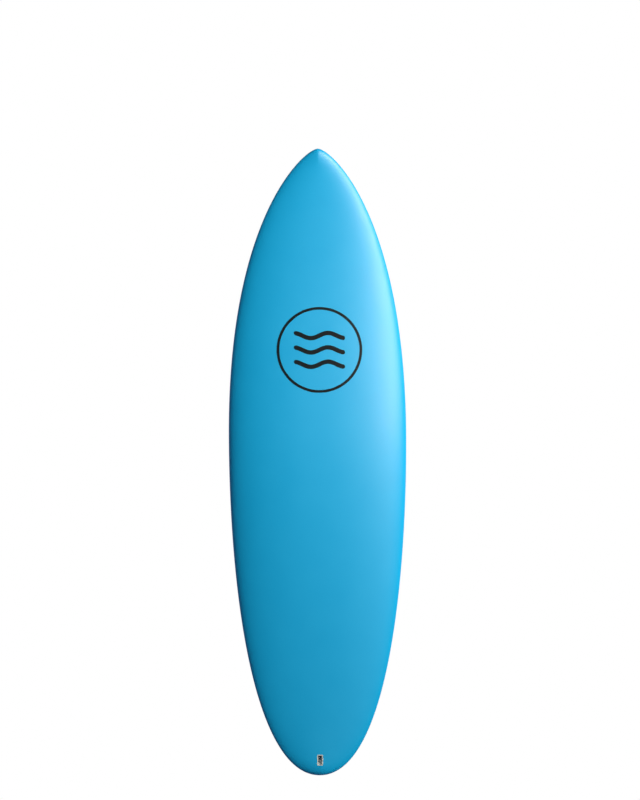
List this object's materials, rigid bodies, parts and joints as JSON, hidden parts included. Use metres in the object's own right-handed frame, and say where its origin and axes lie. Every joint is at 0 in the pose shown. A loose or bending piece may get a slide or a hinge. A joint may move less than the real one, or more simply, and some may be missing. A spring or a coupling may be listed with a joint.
{
  "type": "surfboard",
  "caption": "Soft-top shortboard surfboard with a rounded nose point, round tail, stringers in a foam core, a leash plug and removable fins held by grub screws.",
  "frame": {"origin": "on the flat spot of the bottom, on the centreline, half-way between the nose and the tail", "axes": "+Y along the board from the nose to the tail, +Z out of the deck, +X across the board to the right rail of someone facing the tail; the board lies level with its deck up and its fins down"},
  "size_m": [0.521, 1.829, 0.2231],
  "materials": {
    "foam_core": "matte",
    "stringer_ply": "matte",
    "laminate": "gloss",
    "deck_foam": "satin",
    "slick_bottom": "gloss",
    "leash_cup": "satin",
    "pin_steel": "satin",
    "plug_plastic": "satin",
    "screw_steel": "satin",
    "deck_ink": "satin",
    "fin_composite": "satin"
  },
  "bodies": {
    "board": {"core_left_outer": "foam_core", "core_left_inner": "foam_core", "core_right_inner": "foam_core", "core_right_outer": "foam_core", "stringer_left": "stringer_ply", "stringer_centre": "stringer_ply", "stringer_right": "stringer_ply", "deck_laminate": "laminate", "bottom_laminate": "laminate", "deck_skin": "deck_foam", "bottom_skin": "slick_bottom", "leash_plug_cup": "leash_cup", "leash_plug_pin": "pin_steel", "fin_plug_left_front": "plug_plastic", "fin_plug_left_rear": "plug_plastic", "fin_plug_centre_front": "plug_plastic", "fin_plug_centre_rear": "plug_plastic", "fin_plug_right_front": "plug_plastic", "fin_plug_right_rear": "plug_plastic"},
    "left_fin": {"fin_left": "fin_composite"},
    "left_front_screw": {"grub_screw_left_front": "screw_steel"},
    "left_rear_screw": {"grub_screw_left_rear": "screw_steel"},
    "centre_fin": {"fin_centre": "fin_composite"},
    "centre_front_screw": {"grub_screw_centre_front": "screw_steel"},
    "centre_rear_screw": {"grub_screw_centre_rear": "screw_steel"},
    "right_fin": {"fin_right": "fin_composite"},
    "right_front_screw": {"grub_screw_right_front": "screw_steel"},
    "right_rear_screw": {"grub_screw_right_rear": "screw_steel"}
  },
  "joints": [
    {"name": "left_fin_slide", "type": "slide", "parent": "board", "child": "left_fin", "axis": [0, 0.0736, -0.9973], "range_m": [0, 0.02]},
    {"name": "left_front_screw_turn", "type": "hinge", "parent": "board", "child": "left_front_screw", "pos_m": [-0.15038, 0.54563, 0.01401], "axis": [0.4993, 0.0898, -0.8618], "range_deg": [0, 900]},
    {"name": "left_rear_screw_turn", "type": "hinge", "parent": "board", "child": "left_rear_screw", "pos_m": [-0.15373, 0.60937, 0.01872], "axis": [0.4993, 0.0898, -0.8618], "range_deg": [0, 900]},
    {"name": "centre_fin_slide", "type": "slide", "parent": "board", "child": "centre_fin", "axis": [0, 0.1089, -0.9941], "range_m": [0, 0.02]},
    {"name": "centre_front_screw_turn", "type": "hinge", "parent": "board", "child": "centre_front_screw", "pos_m": [0.0096, 0.73519, 0.03022], "axis": [0.5, 0.0943, -0.8609], "range_deg": [0, 900]},
    {"name": "centre_rear_screw_turn", "type": "hinge", "parent": "board", "child": "centre_rear_screw", "pos_m": [0.0096, 0.79881, 0.03719], "axis": [0.5, 0.0943, -0.8609], "range_deg": [0, 900]},
    {"name": "right_fin_slide", "type": "slide", "parent": "board", "child": "right_fin", "axis": [0, 0.0736, -0.9973], "range_m": [0, 0.02]},
    {"name": "right_front_screw_turn", "type": "hinge", "parent": "board", "child": "right_front_screw", "pos_m": [0.15038, 0.54563, 0.01401], "axis": [-0.4993, 0.0898, -0.8618], "range_deg": [0, 900]},
    {"name": "right_rear_screw_turn", "type": "hinge", "parent": "board", "child": "right_rear_screw", "pos_m": [0.15373, 0.60937, 0.01872], "axis": [-0.4993, 0.0898, -0.8618], "range_deg": [0, 900]}
  ]
}
